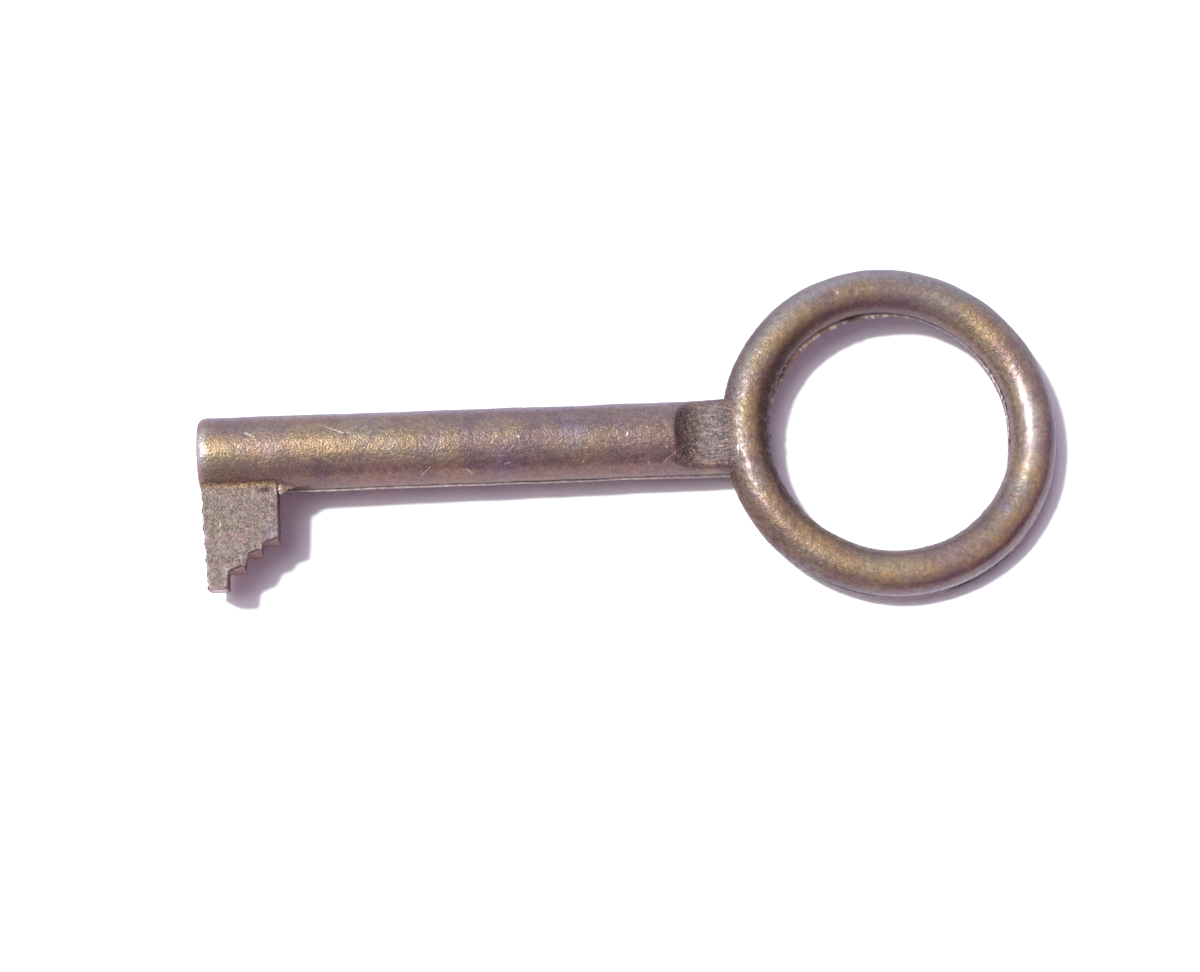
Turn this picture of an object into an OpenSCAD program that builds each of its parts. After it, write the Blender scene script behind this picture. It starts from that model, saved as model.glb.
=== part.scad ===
// Barrel key for a cabinet lock: a ring bow, a short neck, a drilled barrel and a stepped bit.
// Lengths are in millimetres. The barrel lies along X with its mouth at the origin,
// the bow is towards +X, the bit hangs towards -Y and the key lies flat in the XY plane.

/* [Bow] */
// Outside diameter of the ring
bow_od = 25.9; // [20:0.1:34]
// Thickness of the ring's round bar
bow_bar_d = 3.55; // [3.2:0.05:4.6]

/* [Neck] */
// Length from the end of the barrel to the outside of the ring
neck_l = 4.1; // [3.2:0.1:12]
// Thickness between the two flats
neck_t = 3; // [2.2:0.1:3.2]
// Width of the neck where it meets the ring
neck_bow_w = 5.9; // [5.2:0.1:7]
// Full-width collar that is left between the barrel and the scoops
neck_collar = 0.2; // [0.1:0.05:0.6]
// Radius of the scoops that run down to the flats
scoop_r = 2.3; // [1.8:0.1:3.2]

/* [Barrel] */
// Outside diameter
barrel_d = 5.8; // [5.4:0.1:6.4]
// Length from the mouth to the neck
barrel_l = 35.2; // [32:0.1:60]
// Diameter of the hole for the lock's guide pin
bore_d = 4; // [3.6:0.1:4.3]
// Depth of that hole
bore_l = 30; // [12:0.5:32]
// Diameter of the smaller hole behind it, which takes the neck's spigot
socket_d = 3.2; // [2.4:0.1:3.5]
// Rounding of the outer edge of the mouth
lip_r = 0.5; // [0.1:0.05:0.6]
// Bevel on the inner edge of the mouth
mouth_bevel = 0.15; // [0.05:0.05:0.3]

/* [Bit] */
// Thickness
bit_t = 2.7; // [2:0.1:3.2]
// Width along the barrel, at the root
bit_w = 5.65; // [5:0.05:8]
// Distance from the mouth to the front edge
bit_setback = 0.1; // [0.05:0.05:3]
// Reach of the longest tooth beyond the barrel
bit_drop = 7.5; // [6.5:0.1:10]
// Lean of the front edge over the bit's whole reach
front_lean = 0.5; // [0.1:0.05:0.6]
// Width of each of the upper treads
tread_w = 1.25; // [0.9:0.05:1.4]
// Rise from the longest tooth to the second step
riser_low = 1.6; // [0.8:0.05:2]
// Rise from the second step to the third
riser_mid = 1.15; // [0.8:0.05:1.6]
// Rise from the third step to the shortest one
riser_top = 0.85; // [0.6:0.05:1.4]
// Rounding of the steps' outer corners
tooth_r = 0.3; // [0.1:0.05:0.35]
// Rounding of the steps' inner corners and of the front corner
notch_r = 0.15; // [0.05:0.05:0.2]
// Metal that the file left in the inner corners at the upper face, along the barrel
uncut_x = 0.2; // [0.05:0.05:0.4]
// The same, across the barrel
uncut_y = 0.35; // [0.05:0.05:0.45]
// Fillet between the bit's faces and the barrel
root_fillet = 0.4; // [0.2:0.05:0.6]

/* [Joint of bit and barrel] */
// Length of the bit's tongue
tongue_l = 4; // [2:0.1:4.5]
// Width of the tongue
tongue_w = 1.6; // [1:0.1:1.8]
// Depth to which the tongue is let into the barrel
tongue_h = 0.45; // [0.3:0.05:0.5]

/* [Fit] */
// Clearance that the braze fills, on each side of a joint
braze_gap = 0.05; // [0.02:0.01:0.08]

/* [Hidden] */
$fn = 96;
// Straight lengths in each rounded corner
arc_steps = 8;
// How far a cutting shape reaches past what it cuts
cut_over = 1;
// How far an added shape is sunk into what carries it
bite = 0.05;

barrel_r = barrel_d / 2;
bore_r = bore_d / 2;
bow_bar_r = bow_bar_d / 2;
bow_ring_r = bow_od / 2 - bow_bar_r;
bow_x = barrel_l + neck_l + bow_od / 2;
seat_x = bow_x - bow_ring_r;

scoop_drop = barrel_r - neck_t / 2;
scoop_angle = acos(1 - scoop_drop / scoop_r);
scoop_x = barrel_l + neck_collar + scoop_r * sin(scoop_angle);

bit_back = bit_setback + bit_w;
bit_mid = bit_setback + bit_w / 2;
bit_tip = -barrel_r - bit_drop;
step_y = [
    bit_tip,
    bit_tip + riser_low,
    bit_tip + riser_low + riser_mid,
    bit_tip + riser_low + riser_mid + riser_top
];
step_x = [for (i = [0:3]) bit_back - (3 - i) * tread_w];
fillet_z = bit_t / 2 + root_fillet;
fillet_angle = asin(fillet_z / (barrel_r + root_fillet));
fillet_y = -(barrel_r + root_fillet) * cos(fillet_angle);

function unit(v) = v / norm(v);

// Points of a circular arc about c
function arc(c, r, from, to, steps = arc_steps) =
    [for (i = [0:steps]) let (a = from + (to - from) * i / steps) c + r * [cos(a), sin(a)]];

// Corner p of an outline, between its neighbours a and b, rounded to radius r
function corner(a, p, b, r) =
    let (
        u = unit(a - p),
        w = unit(b - p),
        half = acos(u * w) / 2,
        c = p + unit(u + w) * r / sin(half),
        s = p + u * r / tan(half) - c,
        e = p + w * r / tan(half) - c,
        from = atan2(s.y, s.x),
        turn = (atan2(e.y, e.x) - from + 540) % 360 - 180
    )
    arc(c, r, from, from + turn);

// An outline of [x, y, radius] corners with each one rounded
function rounded(pts) =
    let (n = len(pts), p = [for (q = pts) [q.x, q.y]])
    [for (i = [0:n - 1])
        each pts[i].z > 0 ? corner(p[(i + n - 1) % n], p[i], p[(i + 1) % n], pts[i].z) : [p[i]]];

// Ring of the bow, with its bar made thicker by grow
module ring(grow = 0) {
    translate([bow_x, 0, 0])
    rotate_extrude()
    translate([bow_ring_r, 0])
    circle(r = bow_bar_r + grow);
}

// A round rod along X, which may taper to another radius
module rod_x(from, to, r, end_r = undef) {
    translate([from, 0, 0])
    rotate([0, 90, 0])
    cylinder(h = to - from, r1 = r, r2 = is_undef(end_r) ? r : end_r);
}

module bow() {
    color("#8c7350")
    ring();
}

// Side view of the neck: the collar, then a scoop above and below, then the flats
module neck_side() {
    scoop_top = neck_t / 2 + scoop_r;
    scoop = arc([scoop_x, scoop_top], scoop_r, 270 - scoop_angle, 270);
    start = [barrel_l - cut_over, barrel_r + cut_over];
    edge = [start, [scoop[0].x, start.y], each scoop, [seat_x, neck_t / 2]];
    polygon([each edge, for (i = [len(edge) - 1:-1:0]) [edge[i].x, -edge[i].y]]);
}

module neck() {
    color("#857059")
    difference() {
        union() {
            intersection() {
                rod_x(barrel_l, seat_x, barrel_r, neck_bow_w / 2);
                translate([0, barrel_d, 0])
                rotate([90, 0, 0])
                linear_extrude(2 * barrel_d)
                neck_side();
            }
            rod_x(bore_l, barrel_l + neck_collar / 2, socket_d / 2 - braze_gap);
        }
        ring(braze_gap);
    }
}

// Half of the barrel's lengthwise section, as [radius, distance from the mouth]
module barrel_half() {
    lip = arc([barrel_r - lip_r, lip_r], lip_r, -90, 0);
    polygon([
        [bore_r + mouth_bevel, 0],
        each lip,
        [barrel_r, barrel_l],
        [socket_d / 2, barrel_l],
        [socket_d / 2, bore_l],
        [bore_r, bore_l],
        [bore_r, mouth_bevel]
    ]);
}

// Block of the tongue's shape, short of its seat by gap all round
module tongue(gap = 0) {
    length = tongue_l - 2 * gap;
    width = tongue_w - 2 * gap;
    floor_y = -barrel_r + tongue_h - gap;
    translate([bit_mid - length / 2, -barrel_r - root_fillet, -width / 2])
    cube([length, floor_y + barrel_r + root_fillet, width]);
}

module barrel() {
    color("#8f7850")
    difference() {
        rotate([0, 90, 0])
        rotate_extrude()
        barrel_half();
        tongue();
    }
}

// Outline of the bit seen from above, with the steps cut into its back corner
module bit_outline() {
    polygon(rounded([
        [bit_setback, 0, 0],
        [bit_setback + front_lean, bit_tip, notch_r],
        for (i = [0:3]) each [
            [step_x[i], step_y[i], tooth_r],
            if (i < 3) [step_x[i], step_y[i + 1], notch_r]
        ],
        [bit_back, 0, 0]
    ]));
}

// What the file left in the inner corner above tooth i: a pyramid that starts from nothing
// in the lower face and spreads to the two outer corners beside it in the upper one
module uncut_corner(i) {
    tip = [step_x[i] - bite, step_y[i + 1] + bite];
    base = [
        tip,
        [tip.x, step_y[i] + tooth_r],
        [step_x[i] + uncut_x, step_y[i + 1] - uncut_y],
        [step_x[i + 1] - tooth_r, tip.y]
    ];
    spread = 1 + cut_over / bit_t;
    polyhedron(
        points = [
            [tip.x, tip.y, -bit_t / 2],
            for (p = base) [each tip + spread * (p - tip), bit_t / 2 + cut_over]
        ],
        faces = [[1, 4, 3], [1, 3, 2], for (j = [1:4]) [0, j, j % 4 + 1]]
    );
}

// Section of the bit seen from the mouth, as [z, y], widening into a fillet at the barrel
module bit_section() {
    fillet = arc([fillet_z, fillet_y], root_fillet, 180, 90 + fillet_angle);
    side = [[bit_t / 2, bit_tip - cut_over], each fillet, [0, 0]];
    polygon([each side, for (i = [len(side) - 2:-1:0]) [-side[i].x, side[i].y]]);
}

module bit() {
    color("#7f6f5a")
    union() {
        difference() {
            intersection() {
                union() {
                    translate([0, 0, -barrel_r])
                    linear_extrude(barrel_d)
                    bit_outline();
                    for (i = [0:2]) uncut_corner(i);
                }
                rotate([0, 90, 0])
                linear_extrude(bit_back + cut_over)
                bit_section();
            }
            rod_x(-cut_over, bit_back + 2 * cut_over, barrel_r + braze_gap);
        }
        tongue(braze_gap);
    }
}

bow();
neck();
barrel();
bit();
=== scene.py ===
import math

import bpy
import numpy as np
from mathutils import Euler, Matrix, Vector


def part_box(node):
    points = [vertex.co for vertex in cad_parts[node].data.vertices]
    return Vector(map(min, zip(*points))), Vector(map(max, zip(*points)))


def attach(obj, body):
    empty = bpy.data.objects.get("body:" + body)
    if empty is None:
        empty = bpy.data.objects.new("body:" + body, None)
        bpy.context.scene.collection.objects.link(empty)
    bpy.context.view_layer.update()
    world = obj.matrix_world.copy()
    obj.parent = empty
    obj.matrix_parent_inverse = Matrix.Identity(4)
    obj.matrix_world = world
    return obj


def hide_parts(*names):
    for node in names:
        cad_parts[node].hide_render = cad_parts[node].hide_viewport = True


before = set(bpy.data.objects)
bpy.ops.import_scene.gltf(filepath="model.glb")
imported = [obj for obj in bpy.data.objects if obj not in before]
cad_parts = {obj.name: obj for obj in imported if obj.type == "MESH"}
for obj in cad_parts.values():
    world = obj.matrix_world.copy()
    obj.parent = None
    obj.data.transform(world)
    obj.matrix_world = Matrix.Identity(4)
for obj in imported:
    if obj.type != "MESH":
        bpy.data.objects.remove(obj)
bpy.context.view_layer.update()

print("key: frame loaded")

mm = 0.001


def nodeBox(name):
    # lowest and highest corner of a construction piece, in millimetres
    low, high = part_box(name)
    return np.array(low) / mm, np.array(high) / mm


bowLow, bowHigh = nodeBox("bow")
barRadius = bowHigh[2]
ringRadius = bowHigh[1] - barRadius
ringX = (bowLow[0] + bowHigh[0]) / 2
barrelLength, barrelRadius = nodeBox("barrel")[1][:2]

# inside the barrel, where the boxes show nothing
boreRadius = 2.0
boreLength = 30.0
socketRadius = 1.6


def ramp(low, high, value):
    # 0 before low, 1 after high, and the cubic 3t^2 - 2t^3 between them
    t = np.clip((value - low) / (high - low), 0, 1)
    return t * t * (3 - 2 * t)


def bump(value, centre, width):
    # a bell curve, 1 at the centre and about 0.37 at one width from it
    return np.exp(-(((value - centre) / width) ** 2))


# The casting's skin: slow swells and small pits, the same in space for every piece,
# so that the joints between the pieces don't show.
castSkin = {
    "seed": 11,
    "waves": 40,
    "swell": 0.014,
    "pit": 0.0045,
    "spans": {"swell": (2.5, 9.0), "pit": (0.45, 1.5), "edge": (0.25, 1.1), "drift": (3.0, 14.0)},
}


def waveField(seed, count, span):
    # plane waves in random directions, with lengths spread evenly in their logarithm
    rng = np.random.default_rng(seed)
    heading = rng.normal(size=(count, 3))
    heading /= np.linalg.norm(heading, axis=1, keepdims=True)
    length = np.exp(rng.uniform(np.log(span[0]), np.log(span[1]), count))
    phase = rng.uniform(0, 2 * np.pi, count)
    return heading * (2 * np.pi / length[:, None]), phase


def waviness(points, field):
    # the sum of the waves' cosines at each point, scaled to a spread of about 1
    waves, phase = field
    return np.cos(points @ waves.T + phase).sum(axis=-1) / math.sqrt(len(phase) / 2)


swellField, pitField, edgeField, driftField = (
    waveField(castSkin["seed"] + order, castSkin["waves"], castSkin["spans"][name])
    for order, name in enumerate(("swell", "pit", "edge", "drift"))
)


def patchy(points, middle, swing, field=edgeField):
    # a share from 0 to 1 that wavers about the middle by the swing times the waviness
    return np.clip(middle + swing * waviness(points, field), 0, 1)


def pushed(points, outward, depth):
    # each point moved by its depth in millimetres, along its outward direction
    return points + outward * depth[..., None]


def roughen(points, outward, pit=1.0):
    # each point moved along its outward direction by the swells and the pits there
    depth = castSkin["swell"] * waviness(points, swellField)
    depth += castSkin["pit"] * pit * waviness(points, pitField)
    return pushed(points, outward, depth)


def ringFaces(rows, columns, wrapRows):
    # quads of a grid whose columns close on themselves, and whose rows may too
    last = rows if wrapRows else rows - 1
    row, column = np.meshgrid(np.arange(last), np.arange(columns), indexing="ij")
    nextRow = (row + 1) % rows
    nextColumn = (column + 1) % columns
    quads = [row * columns + column, nextRow * columns + column]
    quads += [nextRow * columns + nextColumn, row * columns + nextColumn]
    return np.stack(quads, axis=-1).reshape(-1, 4)


def addObject(name, data):
    made = bpy.data.objects.new(name, data)
    bpy.context.scene.collection.objects.link(made)
    return made


def signedVolume(points, quads):
    # six times the volume that the quads shut in, positive if they face outwards
    a, b, c, d = (points[quads[:, i]] for i in range(4))
    first = np.einsum("ij,ij->i", a, np.cross(b, c)).sum()
    second = np.einsum("ij,ij->i", a, np.cross(c, d)).sum()
    return first + second


def makePiece(name, grid, marks, poles=(), sharp=38):
    # Turns a grid of points in millimetres into a mesh. The rows close on themselves, unless
    # there are poles: points that close the first and the last row with a fan of triangles.
    rows, columns = grid.shape[:2]
    points = grid.reshape(-1, 3)
    quads = ringFaces(rows, columns, not poles)
    flipped = signedVolume(points, quads) < 0
    if flipped:
        quads = quads[:, ::-1]
    faces = quads.tolist()
    count = len(points)
    column = np.arange(columns)
    onward = (column + 1) % columns
    for order, pole in enumerate(poles):
        start = 0 if order == 0 else (rows - 1) * columns
        tip = np.full(columns, count + order)
        fan = np.stack([tip, start + column, start + onward], axis=-1)
        if (order == 0) == flipped:
            fan = fan[:, ::-1]
        faces += fan.tolist()
    if poles:
        points = np.vstack([points, np.array(poles, dtype=float)])
    mesh = bpy.data.meshes.new(name)
    mesh.from_pydata((points * mm).tolist(), [], faces)
    mesh.validate()
    mesh.shade_smooth()
    mesh.set_sharp_from_angle(angle=math.radians(sharp))
    for mark, values in marks.items():
        layer = mesh.attributes.new(mark, "FLOAT", "POINT")
        spare = np.zeros(len(points) - count)
        layer.data.foreach_set("value", np.concatenate([values.reshape(-1), spare]))
    print("key:", name, len(points), "points,", len(mesh.polygons), "faces")
    return addObject(name, mesh)


def seamedAngles(count, offsets):
    # even angles round a bar, with closer ones at both seams, 0 and half a turn
    even = np.arange(count) * 2 * np.pi / count
    close = np.concatenate([offsets, -np.array(offsets), [0]])
    extra = np.concatenate([close, close + np.pi]) % (2 * np.pi)
    angles = np.sort(np.concatenate([even, extra]))
    keep = np.diff(angles, append=angles[0] + 2 * np.pi) > 0.003
    return angles[keep]


def mixMarks(points, traces, recipes):
    # For each mark that the finish reads, the traces in its recipe added up, each times its
    # amount. Only the polish may go below 0, where the metal is duller than elsewhere.
    marks = {}
    for mark, recipe in recipes.items():
        total = 0 * points[..., 0]
        for trace, amount in recipe.items():
            total = total + amount * traces[trace]
        marks[mark] = total if mark == "polish" else np.clip(total, 0, 1)
    return marks


def inLane(angle, piece, name):
    # 1 at the middle angle of one of the piece's lanes, and a bell curve to either side
    middle, width = piece["lanes"][name]
    return bump(angle, math.radians(middle), math.radians(width))


# The mould's two halves didn't quite meet. Each half is moved sideways, in millimetres,
# which leaves a ledge along the seam at z = 0. Closer rows lie beside the seam at these
# offsets, in radians, and bands run along it, each with its height and its width.
seam = {
    "offsets": (0.007, 0.015, 0.024, 0.036, 0.052, 0.075, 0.11, 0.15),
    "halfStep": 0.02,
    "bands": {
        "groove": (0.045, 0.05),
        "ledge": (-0.05, 0.06),
        "flash": (-0.06, 0.16),
        "wornFlash": (-0.06, 0.08),
        "tips": (0.28, 0.1),
        "beads": (0.13, 0.13),
        "stain": (0.1, 0.22),
        "darkRim": (-0.12, 0.14),
    },
}


def alongSeam(z, name):
    # 1 at the height of one of the seam's bands, and a bell curve above and below it
    return bump(z, *seam["bands"][name])


def lowerShare(z):
    # 1 in the lower half of the mould, 0 in the upper one
    return 1 - ramp(-seam["halfStep"], seam["halfStep"], z)


# Bow: the ring. A side is a stretch of it: the angle of its middle in degrees from +X, and
# the cosines of the angle away from there at which it starts and is full. A lane runs along
# the bar: middle and width in degrees, from the outside by the top. The stain's lies across.
bow = {
    "around": 600,
    "roundBar": 112,
    "upperShift": (0.0, 0.1),
    "lowerShift": (0.105, -0.005),
    "groove": 0.05,
    "flash": 0.035,
    "tips": 0.25,
    "shelf": 0.22,
    "step": 0.16,
    "goldenAt": -95,
    "footX": (41.2, 40.3),
    "footReach": (3.6, 2.4),
    "footY": 0.6,
    "sides": {
        "darkRim": (-62, 0.955, 0.99),
        "rimLight": (-40, 0.3, 0.9),
        "tips": (163, 0.86, 0.95),
        "shelf": (12, 0.8, 0.95),
        "step": (122, 0.6, 0.95),
        # the left of the inner wall, where shade is painted
        "shadeInside": (165, 0.45, 0.95),
        "polished": (-3, 0.9, 0.985),
        "hung": (12, 0.45, 0.95),
        "brushed": (12, 0.3, 0.9),
        "tanned": (200, 0.5, 0.95),
        "matte": (195, 0.3, 0.85),
        # the side towards +Y, whose outer flank gets a painted paler sheen
        "paintedSheen": (100, -0.35, 0.4),
        "dull": (37, 0.93, 0.985),
    },
    "lanes": {
        "hung": (146, 19),
        "brushed": (168, 13),
        "tanned": (110, 13),
        "paintedSheen": (56, 17),
        "paintedHighlight": (105, 18),
        "stain": (104, 5.157),
    },
    "marks": {
        "dirtAndShade": {
            "groove": 1, "shadeInside": 0.48, "stain": 0.8, "shelf": 0.05, "hollows": 0.7,
            "darkRim": 0.9, "matteTop": 0.12, "footTop": 0.27,
        },
        "wearAndSheen": {
            "flash": 1, "rimLight": 0.55, "tips": 2.5, "shelf": 0.12, "beads": 1,
            "hung": 0.15, "brushed": 0.3, "paintedSheen": 0.22, "paintedHighlight": 0.5,
        },
        "rub": {"golden": 0.8, "hung": 1.1, "tanned": 0.3, "step": 0.6},
        "polish": {"polished": 1, "matte": -2.0, "dull": -1.5, "shelf": -2.0},
        "crest": {"crest": 1},
        "paintedSheen": {"paintedSheen": 1},
    },
}


def onSide(u, name):
    # 1 on one of the ring's sides, fading to 0 away from it
    middle, start, full = bow["sides"][name]
    return ramp(start, full, np.cos(u - math.radians(middle)))


def castRing(u, v):
    # A point is the ring's centre, plus the ring's radius along the spoke at angle u,
    # plus the bar's radius at angle v in the plane of that spoke and the Z axis. The
    # seam's groove, ragged flash, tips and shelf are added, and then each half is moved.
    spoke = np.stack([np.cos(u), np.sin(u), 0 * u], axis=-1)
    outward = spoke * np.cos(v)[..., None] + np.sin(v)[..., None] * np.array([0, 0, 1.0])
    flat = np.array([ringX, 0, 0]) + spoke * ringRadius
    points = flat + outward * barRadius
    z = points[..., 2]
    inner = ramp(0.2, -0.2, np.cos(v))
    deep = 0.5 + 0.5 * np.clip(waviness(flat, driftField), -1, 1)
    groove = alongSeam(z, "groove") * np.maximum(inner, 0.04 + 0.96 * onSide(u, "darkRim"))
    points = pushed(points, outward, -bow["groove"] * groove * deep)
    ragged = np.maximum(waviness(points * [1, 1, 0.3], edgeField), -0.5)
    flash = alongSeam(z, "flash") * ragged * (0.25 + 0.75 * inner)
    points = pushed(points, outward, bow["flash"] * flash)
    dots = waviness(points * [4, 4, 0.5], edgeField)
    tips = np.clip(dots - 0.2, 0, 1.2) * onSide(u, "tips") * alongSeam(z, "tips") * inner
    points = pushed(points, outward, bow["tips"] * tips)
    shelved = onSide(u, "shelf") * inner
    under = ramp(0.03, -0.05, z)
    shelf = shelved * under * ramp(-1.6, -0.2, z)
    step = onSide(u, "step") * inner * under * ramp(-1.5, -0.3, z)
    points = pushed(points, outward, bow["shelf"] * shelf + bow["step"] * step)
    share = lowerShare(z)[..., None]
    upper = np.array([*bow["upperShift"], 0])
    lower = np.array([*bow["lowerShift"], 0])
    points = points + upper * (1 - share) + lower * share
    worn = np.clip(alongSeam(z, "wornFlash") * (0.1 + 1.8 * ragged), 0, 1)
    beads = shelved * alongSeam(z, "beads")
    rimLight = onSide(u, "rimLight") * (1 - inner)
    traces = {
        "groove": np.clip(groove * (0.35 + deep), 0, 1),
        "flash": worn * (0.15 + 0.85 * inner) * (1 - shelved),
        "tips": tips,
        "shelf": shelf,
        "step": step,
        "beads": beads * np.clip(2 * dots, 0, 1),
        "hollows": beads * np.clip(-2 * dots, 0, 1),
        "stain": inLane(u, bow, "stain") * alongSeam(z, "stain") * inner,
        "darkRim": onSide(u, "darkRim") * (1 - inner) * alongSeam(z, "darkRim"),
        # painted reflection: a pale rim low on the outer side at the lower right, where the bar
        # mirrors the lit table
        "rimLight": rimLight * ramp(0.8, 0.45, z) * ramp(-0.35, -0.1, z),
        # painted shade: the left part of the inner wall, which mirrors the ring's shadow on the table,
        # is coloured darker
        "shadeInside": onSide(u, "shadeInside") * ramp(0.0, -0.6, np.cos(v)) * ramp(0.3, 1.0, z),
    }
    return points, outward, traces


def makeBow():
    # the cast ring with its skin and dents, what hands and hooks left on it, and its painted shade,
    # sheen and highlights
    u = (np.arange(bow["around"]) * 2 * np.pi / bow["around"])[:, None]
    v = seamedAngles(bow["roundBar"], seam["offsets"])[None, :]
    points, outward, traces = castRing(u, v)
    points = roughen(points, outward)
    dent(points, outward, bowDents)
    up = outward[..., 2]
    polished = onSide(u, "polished") * np.maximum(up, 0)
    golden = np.maximum(np.cos(u - math.radians(bow["goldenAt"])), 0) ** 6 * up**2
    matte = onSide(u, "matte") * patchy(points, 0.8, 0.4)
    fromFoot = np.abs(points[..., 1] - bow["footY"])
    foot = ramp(*bow["footX"], points[..., 0]) * ramp(*bow["footReach"], fromFoot)
    for name in ("hung", "brushed", "tanned", "paintedSheen"):
        traces[name] = onSide(u, name) * inLane(v, bow, name)
    traces["hung"] = traces["hung"] * patchy(points, 0.85, 0.3)
    traces |= {
        "crest": np.abs(up),
        "polished": polished,
        # painted highlight: bare tone on the crest at the right, just where the lamp's highlight falls
        "paintedHighlight": polished**2 * inLane(v, bow, "paintedHighlight"),
        "golden": golden * patchy(points, 0.8, 0.4, driftField),
        "dull": onSide(u, "dull") * np.maximum(up, 0),
        "matte": matte,
        "matteTop": matte * (up > 0.3),
        "footTop": foot * patchy(points * 2, 0.6, 0.5) * (up > 0.3),
    }
    return makePiece("bowRing", points, mixMarks(points, traces, bow["marks"]))


# Dents: where each lies, its radius and its depth, in millimetres
bowDents = [
    ((61.75, 4.5, 1.64), 0.22, 0.03),
    ((48.55, 10.7, 1.77), 0.24, 0.07),
    ((50.05, 10.75, 1.74), 0.26, 0.07),
    ((44.85, 6.1, 0.62), 0.36, 0.07),
    ((42.6, 5.6, 1.5), 0.5, 0.04),
    ((61.2, -6.6, 1.6), 0.45, 0.05),
    ((57.4, -10.1, 1.7), 0.5, 0.03),
]
barrelDents = [
    ((8.9, -1.6, 2.35), 0.7, 0.05),
    ((9.9, -1.9, 2.1), 0.45, 0.04),
    ((15.6, -1.1, 2.6), 0.35, 0.035),
    ((32.7, -1.9, 2.1), 0.25, 0.05),
    ((24.9, 0.9, 2.7), 0.3, 0.03),
]


def dent(points, outward, dents):
    # presses a soft hollow into the surface at each place in the list
    for place, radius, depth in dents:
        gap = np.linalg.norm(points - np.array(place), axis=-1)
        points -= outward * (depth * bump(gap, 0, radius))[..., None]


# Barrel. Its lanes run along it: angle from +Y towards +Z and width, in degrees. Its bands
# go round it: middle and width along X, in millimetres.
barrel = {
    "angles": 168,
    "rowGap": 0.16,
    "trim": 0.985,
    "upperY": 0.0,
    "lowerY": -0.125,
    "groove": 0.05,
    "face": 2.3,
    "lip": 0.6,
    "lipDepth": 0.42,
    "lipSteps": 8,
    "bevel": 0.15,
    "burrX": (5.5, 7.6),
    "burr": 0.55,
    "lanes": {"burr": (162, 5), "lit": (93, 32), "paintedSheen": (34, 9)},
    "bands": {"lip": (0.25, 0.5), "tip": (0.4, 0.8), "front": (0, 7), "smudge": (9.5, 1.1)},
    "smudgeY": (-1.35, 0.5),
    "marks": {
        "dirtAndShade": {"groove": 1.3, "inside": 1, "smudge": 0.6},
        "wearAndSheen": {"lip": 1.1, "ledge": 1.3, "burr": 1.1, "paintedSheen": 0.2},
        "rub": {"burr": 5.0, "tip": 0.9, "front": 0.4},
        "crest": {"crest": 1},
    },
}
barrelAngles = seamedAngles(barrel["angles"], tuple(x * 0.75 for x in seam["offsets"]))


def roundOutward(angles):
    # the direction away from the X axis at each angle, which runs from +Y towards +Z
    return np.stack([0 * angles, np.cos(angles), np.sin(angles)], axis=-1)


def castSides(x, radius, angles, upperY, lowerY):
    # Circles of the given radius at each x, with each half moved along Y, and a groove
    # along the seam.
    outward = roundOutward(angles)
    points = outward * radius[..., None]
    points[..., 0] += x
    z = points[..., 2]
    share = lowerShare(z)
    groove = alongSeam(z, "groove")
    deep = 0.6 + 0.4 * np.clip(waviness(points, driftField), -1, 1)
    points = pushed(points, outward, -barrel["groove"] * groove * deep)
    points[..., 1] += upperY * (1 - share) + lowerY * share
    return points, outward, groove * deep


def barrelProfile():
    # The lengthwise section as rows of x and radius: the outer wall, the back, the
    # socket, the bore and its bevel, and the round lip, back to the start.
    outer = barrelRadius * barrel["trim"]
    turn = np.linspace(0, np.pi / 2, barrel["lipSteps"])
    lip = barrel["lip"]
    lipX = lip - lip * np.sin(turn)[::-1]
    lipR = outer - barrel["lipDepth"] * (1 - np.cos(turn)[::-1])
    wallX = np.arange(lip, barrelLength, barrel["rowGap"])[1:]
    x = [lipX, wallX, [barrelLength] * 3, np.linspace(barrelLength, boreLength, 6)[1:]]
    r = [lipR, wallX * 0 + outer, [outer, barrel["face"], socketRadius], [socketRadius] * 5]
    x += [[boreLength], np.linspace(boreLength, barrel["bevel"], 24)[1:], [0, 0]]
    r += [[boreRadius], [boreRadius] * 23, [boreRadius + barrel["bevel"], barrel["face"]]]
    return np.concatenate(x), np.concatenate(r)


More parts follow.
